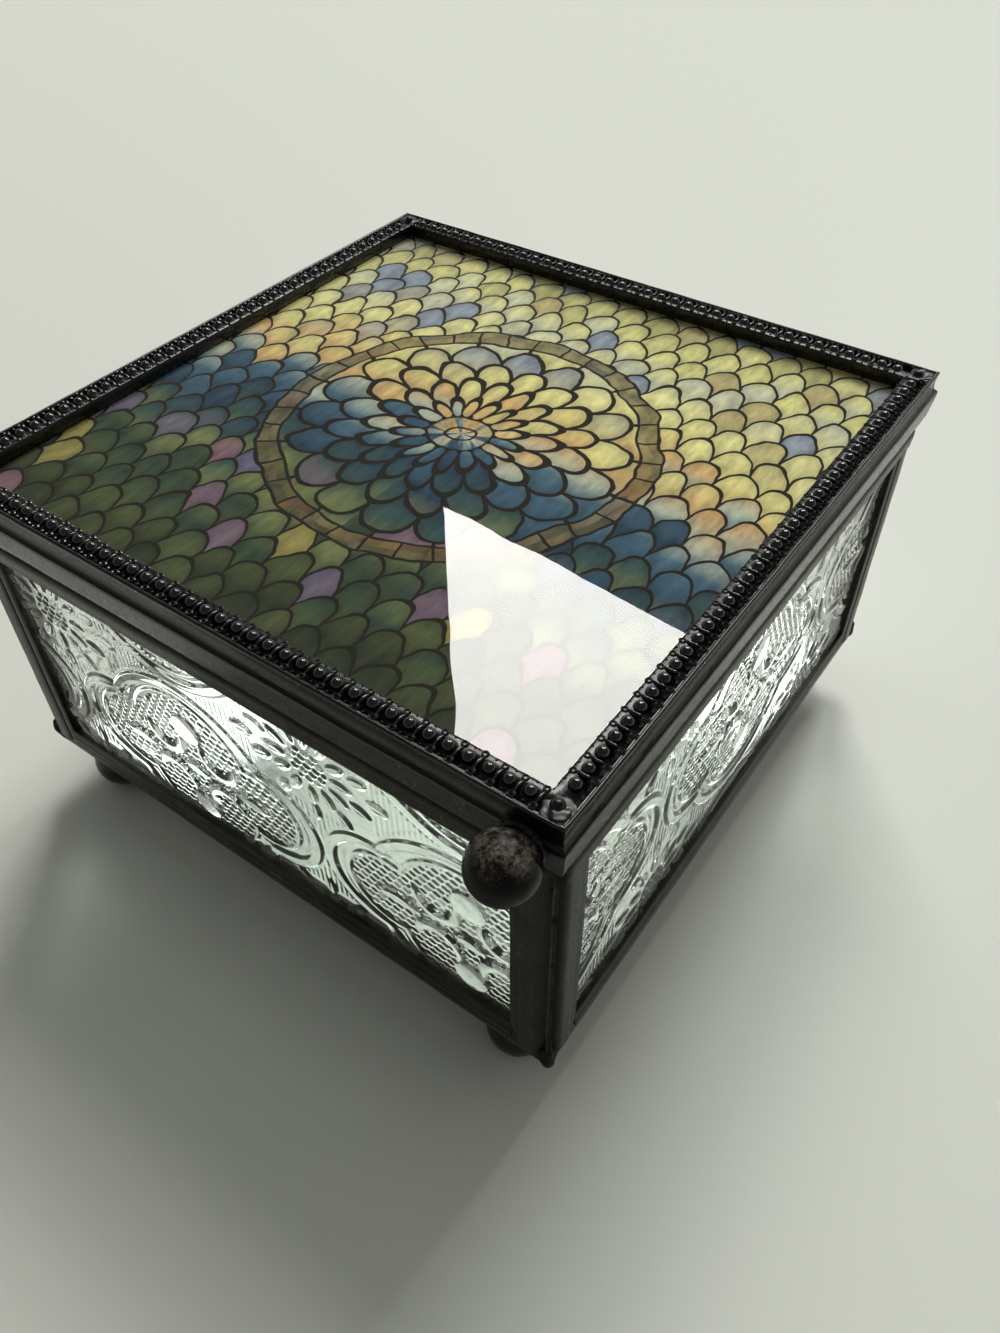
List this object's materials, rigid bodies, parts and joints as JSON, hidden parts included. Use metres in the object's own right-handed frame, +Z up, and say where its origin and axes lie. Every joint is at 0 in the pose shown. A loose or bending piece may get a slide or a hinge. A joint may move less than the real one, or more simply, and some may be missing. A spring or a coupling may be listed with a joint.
{
  "type": "glass casket box",
  "caption": "Square keepsake box of pressed glass panels in dark patinated metal came, with a mirror base and a hinged beaded lid holding a printed picture under glass.",
  "frame": {"origin": "centre of the whole box in plan, lift ball and hinge included, on the plane that the feet stand on", "axes": "+Z up, -Y to the front where the lift ball is, +Y to the back where the hinge is, +X to the right seen from the front"},
  "size_m": [0.102, 0.1114, 0.064],
  "materials": {
    "clear_glass": "clear, pressed pattern",
    "came": "dark patina, worn satin",
    "lid_came": "dark patina, worn satin",
    "solder": "darkened solder",
    "ball": "dark patina, polished by touch",
    "hinge": "dark patina",
    "mirror": "silvered glass",
    "print": "printed in colours",
    "foot": "dark patina"
  },
  "bodies": {
    "box": {"front_glass": "clear_glass", "front_top_came": "came", "front_bottom_came": "came", "front_upright_left": "came", "front_upright_right": "came", "right_glass": "clear_glass", "right_top_came": "came", "right_bottom_came": "came", "right_upright_left": "came", "right_upright_right": "came", "back_glass": "clear_glass", "back_top_came": "came", "back_bottom_came": "came", "back_upright_left": "came", "back_upright_right": "came", "left_glass": "clear_glass", "left_top_came": "came", "left_bottom_came": "came", "left_upright_left": "came", "left_upright_right": "came", "corner_seam_front_right": "solder", "corner_seam_back_right": "solder", "corner_seam_back_left": "solder", "corner_seam_front_left": "solder", "base_mirror": "mirror", "base_came_front": "came", "base_came_right": "came", "base_came_back": "came", "base_came_left": "came", "foot_front_left": "foot", "foot_front_right": "foot", "foot_back_left": "foot", "foot_back_right": "foot", "hinge_rod": "hinge", "hinge_rod_solder": "solder"},
    "lid": {"lid_came_front": "lid_came", "lid_came_right": "lid_came", "lid_came_back": "lid_came", "lid_came_left": "lid_came", "lid_cover_glass": "clear_glass", "lid_print": "print", "lid_backing": "clear_glass", "lift_ball": "ball", "hinge_tube": "hinge", "hinge_tube_solder": "solder"}
  },
  "joints": [
    {"name": "lid_hinge", "type": "hinge", "parent": "box", "child": "lid", "pos_m": [0, 0.05447, 0.0567], "axis": [-1, 0, 0], "range_deg": [0, 105]}
  ]
}
